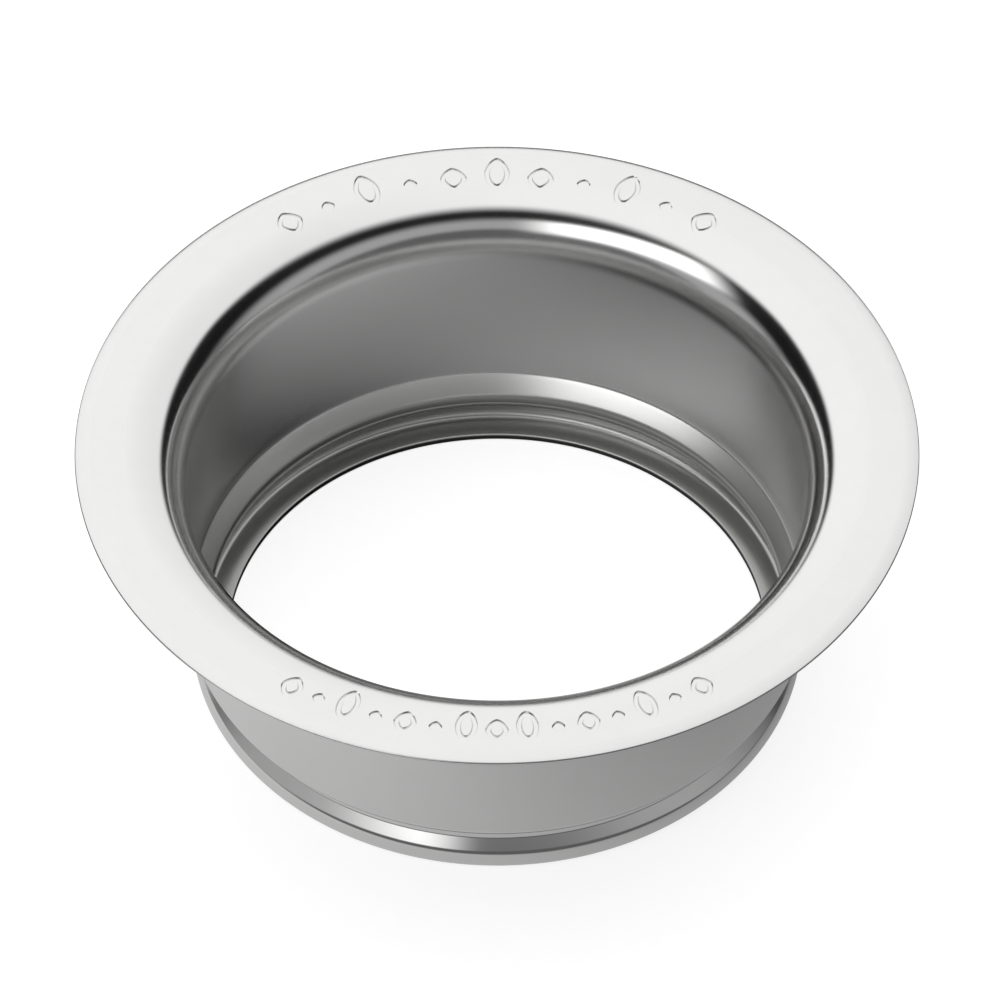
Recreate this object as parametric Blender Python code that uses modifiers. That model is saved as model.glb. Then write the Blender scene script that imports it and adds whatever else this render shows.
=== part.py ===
"""Sink flange of a food waste disposer: one sheet of stainless steel, drawn and rolled.

Metres, +Z up.  The axis of the throat is the Z axis, and z = 0 is the flat underside
of the lip, on which the flange stands.
"""
import math

import bmesh
import bpy
from mathutils import Vector

# ---- driving dimensions -----------------------------------------------------
SHEET = 0.0010                 # thickness of the drawn sheet
HEIGHT = 0.0404                # underside of the lip to the top of the rim
RIM_RADIUS = 0.0572            # before its edge is rounded: 4-1/2 in across the rim after it
EDGE_DROP = 0.00065            # how far the rim's outer edge is turned down
EDGE_SLOPE = math.radians(30)
EDGE_FILLET = 0.0040           # of the bend that turns it down
THROAT_RADIUS = 0.0422         # inside of the straight throat
RIM_FILLET = 0.0086            # inside of the bend from rim to throat

SHOULDER_DROP = 0.0313         # rim top to the end of the straight throat
SHOULDER_FILLET = 0.0008
CREST_RADIUS = 0.0400          # inside crest, whose outside is the floor of the snap-ring groove
CREST_DROP = 0.0339            # rim top to where the crest's straight land begins
CREST_END_DROP = 0.0354        # and to where it ends
CREST_FILLET = 0.0015
HOLLOW_RADIUS = 0.0416         # inside of the rolled bead
HOLLOW_DROP = 0.0375
HOLLOW_FILLET = 0.0012
HEEL_FILLET = 0.0010           # inside of the bend from bead to lip
OPENING_RADIUS = 0.0376        # inner edge of the lip

EDGE_ROUNDING = 0.00042        # of the two trimmed edges
TURN_STEPS = 64                # facets round the axis
DEGREES_PER_SEGMENT = 15       # of a rounded corner in the profile
SHARP_ANGLE = math.radians(40)

STEEL_COLOUR = (0.72, 0.72, 0.71, 1.0)
STEEL_ROUGHNESS = 0.32


def clear_scene():
    for obj in list(bpy.data.objects):
        bpy.data.objects.remove(obj, do_unlink=True)


def profile_corners():
    """Corners of the upper and inner face, from the rim's edge to the opening.

    Each corner is a radius, a height and the fillet that rounds it.
    """
    lip_top = SHEET
    rim_bend = RIM_RADIUS - EDGE_DROP / math.tan(EDGE_SLOPE)
    return [
        (RIM_RADIUS, HEIGHT - EDGE_DROP, 0.0),
        (rim_bend, HEIGHT, EDGE_FILLET),
        (THROAT_RADIUS, HEIGHT, RIM_FILLET),
        (THROAT_RADIUS, HEIGHT - SHOULDER_DROP, SHOULDER_FILLET),
        (CREST_RADIUS, HEIGHT - CREST_DROP, CREST_FILLET),
        (CREST_RADIUS, HEIGHT - CREST_END_DROP, CREST_FILLET),
        (HOLLOW_RADIUS, HEIGHT - HOLLOW_DROP, HOLLOW_FILLET),
        (HOLLOW_RADIUS, lip_top, HEEL_FILLET),
        (OPENING_RADIUS, lip_top, 0.0),
    ]


def rounded_corner(before, corner, after, fillet):
    """Points of the arc that rounds one corner of the profile."""
    way_in = (before - corner).normalized()
    way_out = (after - corner).normalized()
    half_angle = way_in.angle(way_out) / 2
    centre = corner + (way_in + way_out).normalized() * fillet / math.sin(half_angle)
    start = corner + way_in * fillet / math.tan(half_angle) - centre
    turn = start.angle_signed(corner + way_out * fillet / math.tan(half_angle) - centre)
    segments = max(2, round(abs(math.degrees(turn)) / DEGREES_PER_SEGMENT))
    points = []
    for step in range(segments + 1):
        angle = -turn * step / segments
        cosine, sine = math.cos(angle), math.sin(angle)
        spoke = Vector((start.x * cosine - start.y * sine, start.x * sine + start.y * cosine))
        points.append(centre + spoke)
    return points


def profile_points():
    corners = profile_corners()
    places = [Vector((radius, height)) for radius, height, _ in corners]
    points = [places[0]]
    for index in range(1, len(corners) - 1):
        fillet = corners[index][2]
        points += rounded_corner(places[index - 1], places[index], places[index + 1], fillet)
    points.append(places[-1])
    return points


def profile_mesh(name, points):
    mesh = bpy.data.meshes.new(name)
    bm = bmesh.new()
    verts = [bm.verts.new((point.x, 0.0, point.y)) for point in points]
    for first, second in zip(verts, verts[1:]):
        bm.edges.new((first, second))
    bm.to_mesh(mesh)
    bm.free()
    return mesh


def add_turning(obj):
    """Turn the profile about Z into an open skin whose faces point away from the throat."""
    screw = obj.modifiers.new("turn", "SCREW")
    screw.axis = "Z"
    screw.angle = math.tau
    screw.steps = TURN_STEPS
    screw.render_steps = TURN_STEPS
    screw.use_merge_vertices = True
    screw.merge_threshold = 0.00001
    screw.use_smooth_shade = True


def add_sheet_thickness(obj):
    """Give the skin its thickness below the rim and outside the throat."""
    solidify = obj.modifiers.new("sheet", "SOLIDIFY")
    solidify.thickness = SHEET
    solidify.offset = 1.0
    solidify.use_even_offset = True


def add_rounded_edges(obj):
    bevel = obj.modifiers.new("trimmed_edges", "BEVEL")
    bevel.width = EDGE_ROUNDING
    bevel.segments = 2
    bevel.limit_method = "ANGLE"
    bevel.angle_limit = math.radians(60)


def stainless_steel():
    material = bpy.data.materials.new("stainless_steel")
    material.use_nodes = True
    shader = material.node_tree.nodes["Principled BSDF"]
    shader.inputs["Base Color"].default_value = STEEL_COLOUR
    shader.inputs["Metallic"].default_value = 1.0
    shader.inputs["Roughness"].default_value = STEEL_ROUGHNESS
    return material


def sink_flange(collection):
    mesh = profile_mesh("sink_flange", profile_points())
    mesh.materials.append(stainless_steel())
    obj = bpy.data.objects.new("sink_flange", mesh)
    collection.objects.link(obj)
    add_turning(obj)
    add_sheet_thickness(obj)
    add_rounded_edges(obj)
    return obj


def bake_modifiers(obj):
    """Replace the profile by the finished mesh, so that its shading can be set."""
    graph = bpy.context.evaluated_depsgraph_get()
    finished = bpy.data.meshes.new_from_object(obj.evaluated_get(graph))
    finished.name = obj.data.name
    obj.modifiers.clear()
    obj.data = finished
    finished.shade_smooth()
    finished.set_sharp_from_angle(angle=SHARP_ANGLE)


def main():
    clear_scene()
    collection = bpy.data.collections.new("disposer_sink_flange")
    bpy.context.scene.collection.children.link(collection)
    flange = sink_flange(collection)
    bpy.context.view_layer.update()
    bake_modifiers(flange)


main()
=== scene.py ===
# %% [markdown]
# # A sink flange, drawn from one sheet of steel
#
# This lesson builds the flange that lines the outlet of a kitchen sink and carries a food
# waste disposer. It is one piece of stainless steel: a flat rim with a stamped ornament,
# a wide bend, a straight throat, a groove for a snap ring, a rolled bead and a lip.
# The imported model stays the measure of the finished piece: the height is read from it, and
# the other sizes of the section repeat the part's own.

# %% Load the model that the looks are built on
import math

import bmesh
import bpy
from mathutils import Matrix, Vector


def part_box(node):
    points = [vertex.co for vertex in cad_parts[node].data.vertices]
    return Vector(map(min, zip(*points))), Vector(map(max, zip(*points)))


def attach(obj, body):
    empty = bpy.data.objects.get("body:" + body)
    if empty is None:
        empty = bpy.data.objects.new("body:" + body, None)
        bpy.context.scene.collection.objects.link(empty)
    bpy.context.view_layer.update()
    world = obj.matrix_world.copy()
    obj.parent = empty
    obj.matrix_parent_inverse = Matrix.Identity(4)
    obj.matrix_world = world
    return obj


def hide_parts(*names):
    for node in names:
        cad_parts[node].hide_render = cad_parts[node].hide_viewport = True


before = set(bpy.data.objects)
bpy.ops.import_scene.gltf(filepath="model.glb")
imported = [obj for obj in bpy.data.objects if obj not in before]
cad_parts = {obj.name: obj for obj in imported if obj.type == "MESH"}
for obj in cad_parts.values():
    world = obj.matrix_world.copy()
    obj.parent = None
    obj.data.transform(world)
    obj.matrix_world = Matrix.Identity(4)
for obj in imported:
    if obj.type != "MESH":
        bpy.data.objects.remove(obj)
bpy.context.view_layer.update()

MM = 0.001

# %% [markdown]
# ## The section of the sheet
#
# A flange like this is a body of revolution, so its whole shape is in one line: the upper
# and inner face of the sheet, seen in section. The line is a short list of corners, each
# with the radius that the forming tools leave there. Rounding the corners by a function
# keeps every bend a true arc, as a press and a roller make it.

# %% Sizes of the section, in metres
SHEET = 1.0 * MM
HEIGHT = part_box("sink_flange")[1][2]
RIM_RADIUS = 57.2 * MM
EDGE_DROP = 0.65 * MM
EDGE_SLOPE = math.radians(30)
EDGE_FILLET = 4.0 * MM
THROAT_RADIUS = 42.2 * MM
RIM_FILLET = 8.6 * MM
FLAT_INNER = THROAT_RADIUS + RIM_FILLET
RIM_BEND = RIM_RADIUS - EDGE_DROP / math.tan(EDGE_SLOPE)
FLAT_OUTER = RIM_BEND - EDGE_FILLET * math.tan(EDGE_SLOPE / 2)
OPENING_RADIUS = 37.6 * MM

SHOULDER_DROP, SHOULDER_FILLET = 31.3 * MM, 0.8 * MM
CREST_RADIUS, CREST_FILLET = 40.0 * MM, 1.5 * MM
CREST_DROP, CREST_END_DROP = 33.9 * MM, 35.4 * MM
HOLLOW_RADIUS, HOLLOW_DROP, HOLLOW_FILLET = 41.6 * MM, 37.5 * MM, 1.2 * MM
HEEL_FILLET = 1.0 * MM

SECTION = [
    (RIM_RADIUS, HEIGHT - EDGE_DROP, 0.0),
    (RIM_BEND, HEIGHT, EDGE_FILLET),
    (THROAT_RADIUS, HEIGHT, RIM_FILLET),
    (THROAT_RADIUS, HEIGHT - SHOULDER_DROP, SHOULDER_FILLET),
    (CREST_RADIUS, HEIGHT - CREST_DROP, CREST_FILLET),
    (CREST_RADIUS, HEIGHT - CREST_END_DROP, CREST_FILLET),
    (HOLLOW_RADIUS, HEIGHT - HOLLOW_DROP, HOLLOW_FILLET),
    (HOLLOW_RADIUS, SHEET, HEEL_FILLET),
    (OPENING_RADIUS, SHEET, 0.0),
]
print("rim flat between radii", round(FLAT_INNER / MM, 2), "and", round(FLAT_OUTER / MM, 2), "mm")


# %% Round a corner, and lay points along the straights
def arc_points(before, corner, after, fillet, degrees):
    """Points of the arc that rounds one corner, a few degrees apart."""
    way_in = (before - corner).normalized()
    way_out = (after - corner).normalized()
    half = way_in.angle(way_out) / 2
    centre = corner + (way_in + way_out).normalized() * fillet / math.sin(half)
    start = corner + way_in * fillet / math.tan(half) - centre
    end = corner + way_out * fillet / math.tan(half) - centre
    turn = start.angle_signed(end)
    count = max(4, round(abs(math.degrees(turn)) / degrees))
    return [centre + Matrix.Rotation(-turn * k / count, 2) @ start for k in range(count + 1)]


def line_points(start, end, longest):
    """Points between two ends, without the ends, no further apart than the longest step."""
    count = max(1, math.ceil((end - start).length / longest))
    return [start.lerp(end, k / count) for k in range(1, count)]


def section_points(corners, degrees=3.0, longest=2.2 * MM):
    places = [Vector(corner[:2]) for corner in corners]
    points = [places[0]]
    for index in range(1, len(corners) - 1):
        arc = arc_points(*places[index - 1:index + 2], corners[index][2], degrees)
        points += line_points(points[-1], arc[0], longest) + arc
    points += line_points(points[-1], places[-1], longest) + [places[-1]]
    return points


points = section_points(SECTION)
print(len(points), "points along the section")

# %% [markdown]
# ## Turning the section
#
# The spin operator sweeps the section round the Z axis and merges the last step with the
# first, so the skin has no seam. Its faces must look away from the throat, because the
# sheet's thickness is laid on that side: below the rim and outside the wall.

# %% Spin the section into an open skin
TURN_STEPS = 240


def spun_skin(name, outline, steps):
    bm = bmesh.new()
    verts = [bm.verts.new((point.x, 0.0, point.y)) for point in outline]
    for first, second in zip(verts, verts[1:]):
        bm.edges.new((first, second))
    bmesh.ops.spin(
        bm, geom=bm.verts[:] + bm.edges[:], cent=(0, 0, 0), axis=(0, 0, 1),
        angle=math.tau, steps=steps, use_merge=True, use_duplicate=False,
    )
    bmesh.ops.remove_doubles(bm, verts=bm.verts[:], dist=0.00001)
    wall = min(bm.faces, key=lambda face: abs(face.calc_center_median().z - HEIGHT / 2))
    if wall.normal.dot(wall.calc_center_median() * Vector((1, 1, 0))) < 0:
        bmesh.ops.reverse_faces(bm, faces=bm.faces[:])
    mesh = bpy.data.meshes.new(name)
    bm.to_mesh(mesh)
    bm.free()
    obj = bpy.data.objects.new(name, mesh)
    bpy.context.scene.collection.objects.link(obj)
    return obj


flange = spun_skin("flange", points, TURN_STEPS)
print(len(flange.data.polygons), "faces in the skin")

# %% [markdown]
# ## Thickness and trimmed edges
#
# Solidify lays one millimetre of steel on the skin, with even offset so that the sheet
# keeps its gauge round the bends. The two cut edges are square at first. A press shop
# tumbles such parts, so a bevel takes off their corners and leaves most of the edge flat.
# It is narrower than the short straight beside the rim's edge, which is 0.23 mm: a wider
# one would run past the straight and fold the skin back on itself.


# %% Apply a modifier to the mesh it belongs to
def apply_modifiers(obj):
    graph = bpy.context.evaluated_depsgraph_get()
    finished = bpy.data.meshes.new_from_object(obj.evaluated_get(graph))
    finished.name = obj.name
    old = obj.data
    obj.modifiers.clear()
    obj.data = finished
    bpy.data.meshes.remove(old)


# %% Give the skin its gauge
sheet = flange.modifiers.new("sheet", "SOLIDIFY")
sheet.thickness = SHEET
sheet.offset = 1.0
sheet.use_even_offset = True
apply_modifiers(flange)
print("thickness", SHEET / MM, "mm,", len(flange.data.polygons), "faces")

# %% Round the two cut edges
EDGE_ROUNDING = 0.20 * MM


def round_cut_edges(obj, width):
    bm = bmesh.new()
    bm.from_mesh(obj.data)
    cut_edges = [edge for edge in bm.edges if edge.calc_face_angle(0.0) > math.radians(60)]
    bmesh.ops.bevel(
        bm, geom=cut_edges, affect="EDGES", offset=width, segments=5, profile=0.5, material=-1,
    )
    bm.to_mesh(obj.data)
    bm.free()
    return len(cut_edges)


print(round_cut_edges(flange, EDGE_ROUNDING), "cut edges rounded")

# %% [markdown]
# ## The stamped ornament
#
# Flanges like this carry a stamping on the rim. Here it is a plain ornament of drops,
# lozenges and dots, in two rows that are the same from either end. Each figure is made by a
# punch: a filled circle is pulled into the outline, an inset gives the larger ones a second
# loop that is pulled into a smaller copy, and the ribbon between them is extruded into a
# body. A last inset draws its lower face in and down at once, so the pressed line gets
# sloping shoulders. The punches are laid on the rim and cut out of the sheet, so the
# ornament is real relief.

# %% Sizes of the ornament
PRESS_DEPTH = 0.24 * MM
PRESS_SLOPE = 0.14 * MM
RIBBON = 0.80 * MM
PUNCH_TOP = 0.5 * MM


def drop_outline(angle, width, height):
    """A drop: round below and narrower above."""
    across = math.cos(angle) * width / 2
    along = math.sin(angle)
    if along > 0:
        return across * (1.0 - 0.30 * along ** 1.5), along * 0.5 * height
    return across, along * 0.5 * height


def lozenge_outline(angle, width, height):
    """A lozenge whose four corners are rounded."""
    reach = (abs(math.cos(angle)) ** 1.5 + abs(math.sin(angle)) ** 1.5) ** (-1 / 1.5)
    return math.cos(angle) * reach * width / 2, math.sin(angle) * reach * height / 2


# %% Make one punch, lying flat at the origin
def pull_loop(verts, outline, width, height):
    for vert in verts:
        x, y = outline(math.atan2(vert.co.y, vert.co.x), width, height)
        vert.co = (x, y, PUNCH_TOP)


def punch(bm, outline, width, height, corners=36):
    ring = bmesh.ops.create_circle(bm, cap_ends=True, radius=1.0, segments=corners)["verts"]
    top = [ring[0].link_faces[0]]
    if width > 2.6 * RIBBON:
        disc = top[0]
        top = bmesh.ops.inset_region(bm, faces=[disc], thickness=0.4, use_boundary=True)["faces"]
        pull_loop(disc.verts, outline, width - 2 * RIBBON, height - 2.3 * RIBBON)
        bmesh.ops.delete(bm, geom=[disc], context="FACES_ONLY")
    pull_loop(ring, outline, width, height)
    raised = bmesh.ops.extrude_face_region(bm, geom=top, use_keep_orig=True)["geom"]
    low_verts = [item for item in raised if isinstance(item, bmesh.types.BMVert)]
    low_faces = [item for item in raised if isinstance(item, bmesh.types.BMFace)]
    bmesh.ops.translate(bm, verts=low_verts, vec=(0, 0, -PUNCH_TOP))
    shell = {face for vert in list(ring) + low_verts for face in vert.link_faces}
    bmesh.ops.recalc_face_normals(bm, faces=list(shell))
    bmesh.ops.inset_region(
        bm, faces=low_faces, thickness=PRESS_SLOPE, depth=PRESS_DEPTH, use_even_offset=True,
        use_boundary=True,
    )


probe = bmesh.new()
punch(probe, drop_outline, 3.6 * MM, 6.0 * MM)
lowest = min(vert.co.z for vert in probe.verts)
print("one punch has", len(probe.faces), "faces and reaches", round(lowest / MM, 2), "mm")
probe.free()

# %% [markdown]
# ## Setting the punches round the rim
#
# The figures stand in two arcs, one at the rear of the rim and one at the front, each with
# its feet towards the outer edge or the throat. The bend into the throat begins under the
# inner half of the figures, so every point of a punch is lowered by as much as the rim
# has fallen away there.


# %% Fall of the rim below its flat, at any radius
def rim_fall(radius):
    if radius < FLAT_INNER:
        reach = min(FLAT_INNER - radius, RIM_FILLET)
        return RIM_FILLET - math.sqrt(RIM_FILLET ** 2 - reach ** 2)
    if radius > FLAT_OUTER:
        reach = radius - FLAT_OUTER
        return EDGE_FILLET - math.sqrt(EDGE_FILLET ** 2 - reach ** 2)
    return 0.0


print("fall at 48 mm:", round(rim_fall(48 * MM) / MM, 2), "mm")

# %% Place one figure on the rim
MIDDLE = 51.2 * MM


def place_punch(bm, verts, angle, shift, feet_out):
    """Turn a flat punch to its angle, move it out by a shift and lay it on the rim."""
    quarter = math.pi / 2 if feet_out else -math.pi / 2
    moves = Matrix.Rotation(angle, 4, "Z") @ Matrix.Translation((MIDDLE + shift, 0, HEIGHT))
    bmesh.ops.transform(bm, verts=verts, matrix=moves @ Matrix.Rotation(quarter, 4, "Z"))
    for vert in verts:
        vert.co.z -= rim_fall(math.hypot(vert.co.x, vert.co.y))


# %% The two arcs of figures
DROP = (drop_outline, 3.6 * MM, 6.0 * MM, 0.0)
LOZENGE = (lozenge_outline, 3.8 * MM, 4.4 * MM, 0.8 * MM)
DOT = (lozenge_outline, 2.0 * MM, 2.0 * MM, 0.8 * MM)
SLIM_DROP = (drop_outline, 3.0 * MM, 5.4 * MM, 0.0)
SMALL_LOZENGE = (lozenge_outline, 3.1 * MM, 3.8 * MM, 0.7 * MM)
SMALL_DOT = (lozenge_outline, 1.8 * MM, 1.8 * MM, 0.7 * MM)
REAR_HALF = [LOZENGE, DOT, DROP, DOT, LOZENGE]
REAR_ROW = REAR_HALF + [DROP] + REAR_HALF[::-1]
FRONT_HALF = [SMALL_LOZENGE, SMALL_DOT, SLIM_DROP, SMALL_DOT, SMALL_LOZENGE, SMALL_DOT, SLIM_DROP]
FRONT_ROW = FRONT_HALF + [SMALL_LOZENGE] + FRONT_HALF[::-1]


def press_row(bm, figures, centre, span, feet_out):
    """Spread figures evenly over an arc."""
    step = span / (len(figures) - 1)
    way = 1 if feet_out else -1
    for index, (outline, width, height, shift) in enumerate(figures):
        before = set(bm.verts)
        punch(bm, outline, width, height)
        verts = [vert for vert in bm.verts if vert not in before]
        angle = centre + way * (index - (len(figures) - 1) / 2) * step
        place_punch(bm, verts, angle, shift * way, feet_out)


REAR_SPAN, FRONT_SPAN = math.radians(70), math.radians(62)
dies = bmesh.new()
press_row(dies, REAR_ROW, math.radians(90), REAR_SPAN, feet_out=False)
press_row(dies, FRONT_ROW, math.radians(-90), FRONT_SPAN, feet_out=True)
bmesh.ops.recalc_face_normals(dies, faces=dies.faces[:])
print(len(REAR_ROW) + len(FRONT_ROW), "punches")

# %% Stamp the rim
punches = bpy.data.objects.new("punches", bpy.data.meshes.new("punches"))
bpy.context.scene.collection.objects.link(punches)
dies.to_mesh(punches.data)
dies.free()
stamping = flange.modifiers.new("stamping", "BOOLEAN")
stamping.operation = "DIFFERENCE"
stamping.solver = "MANIFOLD"
stamping.object = punches
apply_modifiers(flange)
bpy.data.objects.remove(punches, do_unlink=True)
flange.data.shade_smooth()
flange.data.set_sharp_from_angle(angle=math.radians(24))
print("stamped flange:", len(flange.data.polygons), "faces")

# %% [markdown]
# ## Steel
#
# Stainless steel is a plain metal shader; what makes it look drawn and finished is how its
# gloss changes. Fine rings run round the axis, because the part is polished while it
# turns. Handling leaves broad, faint clouds. The bends and the bead were squeezed between
# hard tools, so they are smoother than the rim and the wall. The inside of the groove and
# the lip is a little duller, and its colour is drawn darker there: that darkening is painted
# shade in the hollow. Each effect is a node group that returns one value, and the material
# mixes them into its colour, its roughness and its relief.


# %% Helpers for node groups
def new_group(name, inputs, outputs):
    tree = bpy.data.node_groups.new(name, "ShaderNodeTree")
    for label, value in inputs.items():
        socket = tree.interface.new_socket(label, in_out="INPUT", socket_type="NodeSocketFloat")
        socket.default_value = value
    for label in outputs:
        tree.interface.new_socket(label, in_out="OUTPUT", socket_type="NodeSocketFloat")
    return tree, tree.nodes.new("NodeGroupInput"), tree.nodes.new("NodeGroupOutput")


def add(tree, kind, **settings):
    node = tree.nodes.new(kind)
    for key, value in settings.items():
        setattr(node, key, value)
    return node


def math_node(tree, operation, first, second=None, clamp=False):
    """A Math node whose inputs are links or numbers; returns its result."""
    node = add(tree, "ShaderNodeMath", operation=operation, use_clamp=clamp)
    for socket, value in zip(node.inputs, (first, second)):
        if isinstance(value, bpy.types.NodeSocket):
            tree.links.new(value, socket)
        elif value is not None:
            socket.default_value = value
    return node.outputs[0]


def axis_radius(tree, coordinates):
    """Distance from the flange's axis, and height, from Object coordinates."""
    split = add(tree, "ShaderNodeSeparateXYZ")
    tree.links.new(coordinates, split.inputs[0])
    squares = math_node(
        tree, "ADD",
        math_node(tree, "MULTIPLY", split.outputs["X"], split.outputs["X"]),
        math_node(tree, "MULTIPLY", split.outputs["Y"], split.outputs["Y"]),
    )
    return math_node(tree, "SQRT", squares), split.outputs["Z"]


# %% Fine rings left by polishing on a lathe
def turned_rings():
    tree, given, result = new_group("turned_rings", {"Rings per mm": 9.0}, ["Rings"])
    coordinates = add(tree, "ShaderNodeTexCoord").outputs["Object"]
    radius, height = axis_radius(tree, coordinates)
    along = math_node(tree, "SUBTRACT", radius, height)
    scale = math_node(tree, "MULTIPLY", given.outputs["Rings per mm"], 1 / MM)
    place = add(tree, "ShaderNodeCombineXYZ")
    tree.links.new(math_node(tree, "MULTIPLY", along, scale), place.inputs["X"])
    noise = add(tree, "ShaderNodeTexNoise", noise_dimensions="3D")
    noise.inputs["Scale"].default_value = 1.0
    noise.inputs["Detail"].default_value = 3.0
    tree.links.new(place.outputs[0], noise.inputs["Vector"])
    tree.links.new(noise.outputs[0], result.inputs["Rings"])
    return tree


# %% Faint clouds left by hands and cloths
def handling_clouds():
    tree, given, result = new_group("handling_clouds", {"Scale": 60.0}, ["Clouds"])
    coordinates = add(tree, "ShaderNodeTexCoord").outputs["Object"]
    noise = add(tree, "ShaderNodeTexNoise", noise_dimensions="3D")
    noise.inputs["Detail"].default_value = 5.0
    noise.inputs["Roughness"].default_value = 0.55
    tree.links.new(given.outputs["Scale"], noise.inputs["Scale"])
    tree.links.new(coordinates, noise.inputs["Vector"])
    tree.links.new(noise.outputs[0], result.inputs["Clouds"])
    return tree


# %% A band of height with soft limits, for where the tools pressed hardest and for the painted shade in the hollow
def height_band():
    sizes = {"Lower": 0.0, "Upper": 0.01, "Softness": 0.002}
    tree, given, result = new_group("height_band", sizes, ["Mask"])
    coordinates = add(tree, "ShaderNodeTexCoord").outputs["Object"]
    height = axis_radius(tree, coordinates)[1]
    soft = given.outputs["Softness"]
    above = math_node(tree, "SUBTRACT", height, given.outputs["Lower"])
    below = math_node(tree, "SUBTRACT", given.outputs["Upper"], height)
    inside = math_node(tree, "MINIMUM", above, below)
    mask = math_node(tree, "DIVIDE", inside, soft, clamp=True)
    tree.links.new(mask, result.inputs["Mask"])
    return tree


RINGS = turned_rings()
CLOUDS = handling_clouds()
BAND = height_band()
print("effects:", [group.name for group in (RINGS, CLOUDS, BAND)])


# %% Which faces line the throat, and which look outwards
def throat_side():
    tree, _, result = new_group("throat_side", {}, ["Inside"])
    place = add(tree, "ShaderNodeTexCoord")
    flat = add(tree, "ShaderNodeVectorMath", operation="MULTIPLY")
    flat.inputs[1].default_value = (1.0, 1.0, 0.0)
    tree.links.new(place.outputs["Object"], flat.inputs[0])
    facing = add(tree, "ShaderNodeVectorMath", operation="DOT_PRODUCT")
    tree.links.new(flat.outputs["Vector"], facing.inputs[0])
    tree.links.new(place.outputs["Normal"], facing.inputs[1])
    inside = math_node(tree, "LESS_THAN", facing.outputs["Value"], 0.0)
    tree.links.new(inside, result.inputs["Inside"])
    return tree


SIDE = throat_side()


# %% The steel itself
def place_group(tree, group, **values):
    node = add(tree, "ShaderNodeGroup", node_tree=group)
    for label, value in values.items():
        node.inputs[label.replace("_", " ")].default_value = value
    return node.outputs[0]


def ramp(tree, value, low, high):
    """Spread a value between 0 and 1 over two limits."""
    node = add(tree, "ShaderNodeMapRange")
    node.inputs["To Min"].default_value = low
    node.inputs["To Max"].default_value = high
    tree.links.new(value, node.inputs["Value"])
    return node.outputs["Result"]


STEEL = (0.80, 0.80, 0.795, 1.0)
# Base colour inside the groove and the lip: darker steel, as painted shade in the hollow.
SHADED_HOLLOW_STEEL = (0.50, 0.50, 0.49, 1.0)
SATIN, BRIGHT = 0.25, 0.13
GLOSS_CHANGE = 0.03
HOLLOW_DULLNESS = 0.07
TINT_CHANGE = 0.93
CLOUD_SCALE, MOTTLE_SCALE, RINGS_PER_MM = 55.0, 420.0, 7.0
BEAD_BAND = {"Lower": -1.0 * MM, "Upper": 9.5 * MM, "Softness": 1.0 * MM}
BEND_BAND = {"Lower": 35.2 * MM, "Upper": 40.3 * MM, "Softness": 1.2 * MM}
HOLLOW_SHADE_BAND = {"Lower": -2.0 * MM, "Upper": 9.0 * MM, "Softness": 3.0 * MM}
RING_STRENGTH, RING_DEPTH = 0.04, 0.02 * MM


def stainless_steel():
    material = bpy.data.materials.new("stainless_steel")
    material.use_nodes = True
    tree = material.node_tree
    shader = tree.nodes["Principled BSDF"]
    shader.inputs["Metallic"].default_value = 1.0
    clouds = place_group(tree, CLOUDS, Scale=CLOUD_SCALE)
    rings = place_group(tree, RINGS, Rings_per_mm=RINGS_PER_MM)
    side = place_group(tree, SIDE)
    bead = place_group(tree, BAND, **BEAD_BAND)
    outer_bead = math_node(tree, "MULTIPLY", bead, math_node(tree, "SUBTRACT", 1.0, side))
    bend = place_group(tree, BAND, **BEND_BAND)
    lower_throat = math_node(tree, "MULTIPLY", bead, side)
    bright = math_node(tree, "ADD", outer_bead, bend, clamp=True)
    satin = math_node(tree, "ADD", ramp(tree, clouds, -GLOSS_CHANGE, GLOSS_CHANGE), SATIN)
    polish = math_node(tree, "MULTIPLY", bright, BRIGHT - SATIN)
    dull = math_node(tree, "MULTIPLY", lower_throat, HOLLOW_DULLNESS)
    roughness = math_node(tree, "ADD", math_node(tree, "ADD", satin, polish), dull)
    grain = math_node(tree, "ADD", roughness, ramp(tree, rings, -GLOSS_CHANGE, GLOSS_CHANGE))
    tree.links.new(grain, shader.inputs["Roughness"])
    tint = add(tree, "ShaderNodeMix", data_type="RGBA")
    tint.inputs["A"].default_value = STEEL
    tint.inputs["B"].default_value = tuple(value * TINT_CHANGE for value in STEEL[:3]) + (1.0,)
    mottle = place_group(tree, CLOUDS, Scale=MOTTLE_SCALE)
    shade = math_node(tree, "MULTIPLY", math_node(tree, "ADD", clouds, mottle), 0.5)
    tree.links.new(shade, tint.inputs["Factor"])
    # Painted shade: the base colour is darkened inside the groove and the lip, over this band.
    hollow_shade = place_group(tree, BAND, **HOLLOW_SHADE_BAND)
    painted_shade = add(tree, "ShaderNodeMix", data_type="RGBA")
    tree.links.new(math_node(tree, "MULTIPLY", hollow_shade, side), painted_shade.inputs["Factor"])
    tree.links.new(tint.outputs["Result"], painted_shade.inputs["A"])
    painted_shade.inputs["B"].default_value = SHADED_HOLLOW_STEEL
    tree.links.new(painted_shade.outputs["Result"], shader.inputs["Base Color"])
    bump = add(tree, "ShaderNodeBump")
    bump.inputs["Strength"].default_value = RING_STRENGTH
    bump.inputs["Distance"].default_value = RING_DEPTH
    tree.links.new(rings, bump.inputs["Height"])
    tree.links.new(bump.outputs["Normal"], shader.inputs["Normal"])
    return material


flange.data.materials.clear()
flange.data.materials.append(stainless_steel())
print("material:", flange.data.materials[0].name)

# %% [markdown]
# ## The studio
#
# Polished steel shows its surroundings, so the light is designed as a place. A large white
# ceiling leans over the flange from behind and makes the rim almost white; it fades to the
# right. Round it runs a dark gap, which draws the black line along every bend. Outside the
# gap stands a band of wall, grey all round and very bright at the front left, where a
# softbox stands. Below the band the room is dark. The world shader draws all of this from a
# direction: how near it is to the ceiling's centre, its angle round the part, and its X, Y
# and Z. Each pair below gives where a soft border begins and where it is complete.


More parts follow.
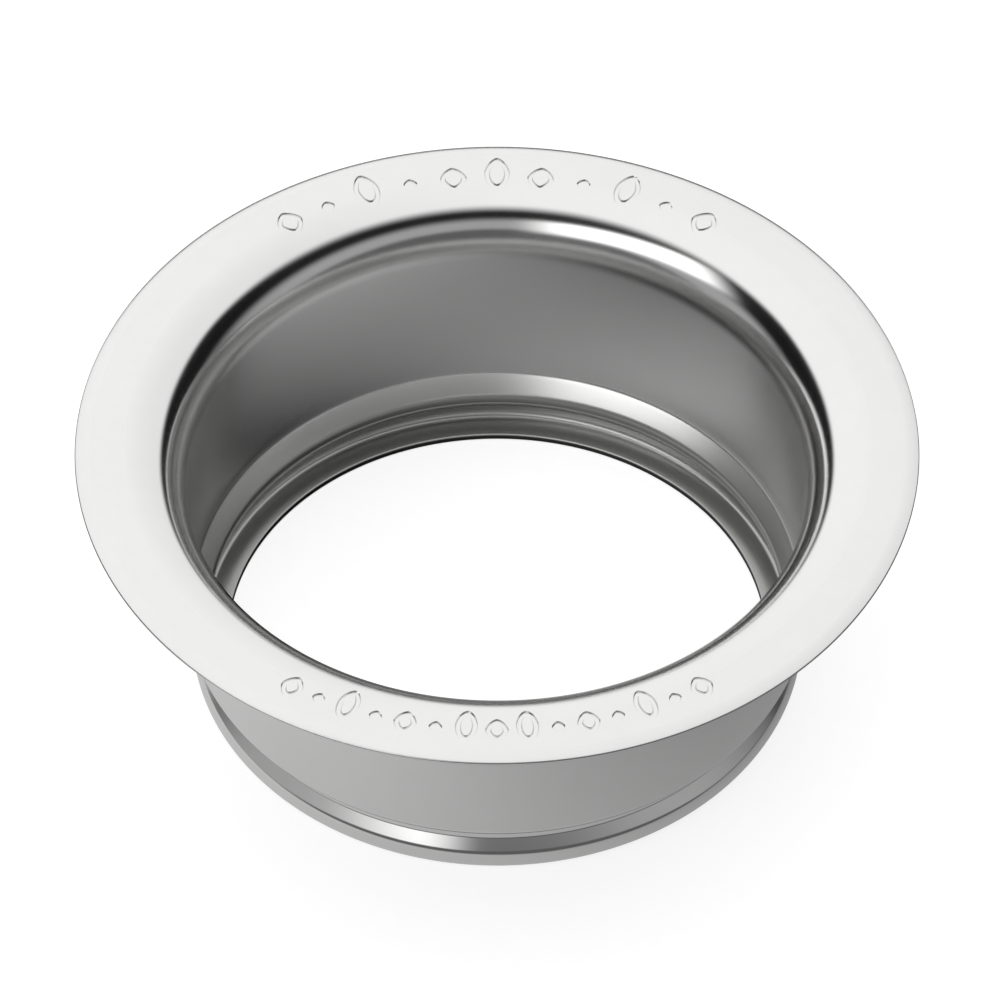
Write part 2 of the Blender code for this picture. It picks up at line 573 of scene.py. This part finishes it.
# %% A smooth or straight step between two limits
def step(tree, value, limits, results, smooth=True):
    node = add(tree, "ShaderNodeMapRange")
    node.interpolation_type = "SMOOTHSTEP" if smooth else "LINEAR"
    for label, number in zip(("From Min", "From Max", "To Min", "To Max"), (*limits, *results)):
        node.inputs[label].default_value = number
    tree.links.new(value, node.inputs["Value"])
    return node.outputs["Result"]


def blend(tree, mask, low, high):
    """Mix two values by a mask: low where it is 0, high where it is 1."""
    node = add(tree, "ShaderNodeMix", data_type="FLOAT")
    for socket, value in zip((node.inputs[0], node.inputs[2], node.inputs[3]), (mask, low, high)):
        if isinstance(value, bpy.types.NodeSocket):
            tree.links.new(value, socket)
        else:
            socket.default_value = value
    return node.outputs[0]


# %% World
CEILING_LEAN = math.radians(33.545)
CEILING = Vector((0.0, math.sin(CEILING_LEAN), math.cos(CEILING_LEAN)))
CEILING_LIGHT, FRONT_LIGHT, SIDE_LIGHT = 1.12, 0.42, 0.20
SOFTBOX_LIGHT, GAP_LIGHT, LOW_LIGHT = 2.0, 0.008, 0.12
CEILING_FADE, CEILING_FADED = (-0.1, 0.6), 0.87
CEILING_EDGE = (0.38, 0.62)
EDGE_MOVES, EDGE_PLACES = (-0.5, 0.2), (0.37, 0.53)
GAP_EDGE, ROOM_EDGE = (0.04, 0.27), (-0.22, -0.10)
RIGHT_WALL = (math.radians(-120), math.radians(-60))
LEFT_WALL = (math.radians(90), math.radians(120))
SOFTBOX_BEGINS = (math.radians(4), math.radians(28))
SOFTBOX_ENDS = (math.radians(62), math.radians(86))
SOFTBOX_FOOT, SOFTBOX_TOP = (0.27, 0.42), (0.63, 0.72)
RISE, FALL = (0.0, 1.0), (1.0, 0.0)


def studio_world():
    world = bpy.data.worlds.new("studio")
    bpy.context.scene.world = world
    world.use_nodes = True
    tree = world.node_tree
    direction = add(tree, "ShaderNodeTexCoord").outputs["Generated"]
    split = add(tree, "ShaderNodeSeparateXYZ")
    tree.links.new(direction, split.inputs[0])
    lean = add(tree, "ShaderNodeVectorMath", operation="DOT_PRODUCT")
    lean.inputs[1].default_value = CEILING
    tree.links.new(direction, lean.inputs[0])
    nearness = lean.outputs["Value"]

    # Angle round the part: 0 straight ahead at the front, growing towards the left.
    left = math_node(tree, "MULTIPLY", split.outputs["X"], -1.0)
    ahead = math_node(tree, "MULTIPLY", split.outputs["Y"], -1.0)
    around = math_node(tree, "ARCTAN2", left, ahead)

    faded = (CEILING_LIGHT, CEILING_FADED * CEILING_LIGHT)
    ceiling = step(tree, split.outputs["X"], CEILING_FADE, faded, False)
    rightwards = step(tree, around, RIGHT_WALL, (SIDE_LIGHT, FRONT_LIGHT))
    leftwards = step(tree, around, LEFT_WALL, (1.0, SIDE_LIGHT / FRONT_LIGHT))
    grey = math_node(tree, "MULTIPLY", rightwards, leftwards)
    room = blend(tree, step(tree, nearness, ROOM_EDGE, RISE), LOW_LIGHT, grey)
    gap = blend(tree, step(tree, nearness, GAP_EDGE, RISE), room, GAP_LIGHT)

    begins = step(tree, around, SOFTBOX_BEGINS, RISE)
    ends = step(tree, around, SOFTBOX_ENDS, FALL)
    foot = step(tree, split.outputs["Z"], SOFTBOX_FOOT, RISE)
    top = step(tree, split.outputs["Z"], SOFTBOX_TOP, FALL)
    width = math_node(tree, "MULTIPLY", begins, ends)
    softbox = math_node(tree, "MULTIPLY", width, math_node(tree, "MULTIPLY", foot, top))
    below = blend(tree, softbox, gap, SOFTBOX_LIGHT)

    # The ceiling's edge begins further out at the front than at the back.
    edge = step(tree, nearness, CEILING_EDGE, RISE)
    border = step(tree, split.outputs["Y"], EDGE_MOVES, EDGE_PLACES, False)
    tree.links.new(border, edge.node.inputs["From Min"])
    light = blend(tree, edge, below, ceiling)
    tree.links.new(light, tree.nodes["Background"].inputs["Strength"])
    tree.nodes["Background"].inputs["Color"].default_value = (1.0, 1.0, 1.0, 1.0)
    return world


studio_world()
print("ceiling leans back by", round(math.degrees(math.acos(CEILING.z)), 1), "degrees")

# %% [markdown]
# ## The floor
#
# The floor is plain, pale and matt. Steel this shiny would show it as one flat grey, so
# for mirrored rays alone the floor glows by a simple map. It is a painted reflection, and
# not what the lights alone would give. Outside the flange it is brighter on the left, where
# the softbox stands, and fades with distance. Inside the throat it is darker on the left and
# brighter on the right, and nearly dark under the lip. Everything else sees the plain floor.

# %% Floor
FLOOR_HALF = 1.5
FLOOR_GAP = 0.05 * MM
PAPER_COLOUR = (0.5, 0.5, 0.5, 1.0)
PAPER_GLOW = 0.76
GLOW_OUTSIDE = ((-0.075, 0.075), (0.74, 0.24))
GLOW_INSIDE = ((-0.026, 0.034), (0.02, 0.62))
GLOW_UNDER_LIP = ((0.033, 0.037), (1.0, 0.06))
GLOW_CHANGES_AT = ((0.040, 0.042), (0.0, 1.0))
GLOW_FAR_OFF = ((0.07, 0.11), (1.0, 0.3))


def mirrored_floor(tree):
    """How bright the floor looks in the steel, from the place on the floor."""
    place = add(tree, "ShaderNodeTexCoord").outputs["Object"]
    split = add(tree, "ShaderNodeSeparateXYZ")
    tree.links.new(place, split.inputs[0])
    radius = axis_radius(tree, place)[0]
    outside = step(tree, split.outputs["X"], *GLOW_OUTSIDE, False)
    inside = step(tree, split.outputs["X"], *GLOW_INSIDE, False)
    foot = step(tree, radius, *GLOW_UNDER_LIP)
    shaded = math_node(tree, "MULTIPLY", inside, foot)
    light = blend(tree, step(tree, radius, *GLOW_CHANGES_AT), shaded, outside)
    far = step(tree, radius, *GLOW_FAR_OFF)
    return math_node(tree, "MULTIPLY", light, far)


def pale_floor():
    material = bpy.data.materials.new("pale_floor")
    material.use_nodes = True
    tree = material.node_tree
    tree.nodes.clear()
    output = add(tree, "ShaderNodeOutputMaterial")
    path = add(tree, "ShaderNodeLightPath")
    paper = add(tree, "ShaderNodeBsdfDiffuse")
    paper.inputs["Color"].default_value = PAPER_COLOUR
    glow = add(tree, "ShaderNodeEmission")
    glow.inputs["Strength"].default_value = PAPER_GLOW
    lit = add(tree, "ShaderNodeAddShader")
    tree.links.new(paper.outputs[0], lit.inputs[0])
    tree.links.new(glow.outputs[0], lit.inputs[1])
    mirrored = add(tree, "ShaderNodeEmission")
    tree.links.new(mirrored_floor(tree), mirrored.inputs["Strength"])
    plain = add(tree, "ShaderNodeMixShader")
    tree.links.new(path.outputs["Is Camera Ray"], plain.inputs[0])
    tree.links.new(paper.outputs[0], plain.inputs[1])
    tree.links.new(lit.outputs[0], plain.inputs[2])
    mix = add(tree, "ShaderNodeMixShader")
    tree.links.new(path.outputs["Is Glossy Ray"], mix.inputs[0])
    tree.links.new(plain.outputs[0], mix.inputs[1])
    tree.links.new(mirrored.outputs[0], mix.inputs[2])
    tree.links.new(mix.outputs[0], output.inputs["Surface"])
    return material


def studio_floor():
    bm = bmesh.new()
    bmesh.ops.create_grid(bm, x_segments=1, y_segments=1, size=FLOOR_HALF)
    bmesh.ops.translate(bm, verts=bm.verts[:], vec=(0, 0, -FLOOR_GAP))
    mesh = bpy.data.meshes.new("floor")
    bm.to_mesh(mesh)
    bm.free()
    floor = bpy.data.objects.new("floor", mesh)
    bpy.context.scene.collection.objects.link(floor)
    mesh.materials.append(pale_floor())
    return floor


floor = studio_floor()
print("floor is", 2 * FLOOR_HALF, "m wide")

# %% [markdown]
# ## The camera
#
# A long lens stands well back and looks down on the rim from the front, so that the round
# rim and the wall under it are both seen with little perspective. It aims at the middle of
# the rim's top, and a small shift places the flange in the picture.

# %% Camera
CAMERA_DISTANCE = 0.850
CAMERA_ELEVATION = math.radians(46.84)
SENSOR = 36.0
LENS = 226.188
SHIFT_RIGHT, SHIFT_UP = 0.0030, -0.0621

camera_data = bpy.data.cameras.new("camera")
camera = bpy.data.objects.new("camera", camera_data)
bpy.context.scene.collection.objects.link(camera)
camera.location = (
    0.0,
    -CAMERA_DISTANCE * math.cos(CAMERA_ELEVATION),
    HEIGHT + CAMERA_DISTANCE * math.sin(CAMERA_ELEVATION),
)
camera.rotation_euler = (math.pi / 2 - CAMERA_ELEVATION, 0.0, 0.0)
camera_data.sensor_width = SENSOR
camera_data.lens = LENS
camera_data.clip_start = 0.01
camera_data.shift_x = SHIFT_RIGHT
camera_data.shift_y = SHIFT_UP
bpy.context.scene.camera = camera
bpy.context.scene.view_settings.view_transform = "Standard"
print("lens", round(camera_data.lens, 1), "mm")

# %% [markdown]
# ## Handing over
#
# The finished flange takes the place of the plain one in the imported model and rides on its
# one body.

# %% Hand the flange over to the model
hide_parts("sink_flange")
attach(flange, "root")
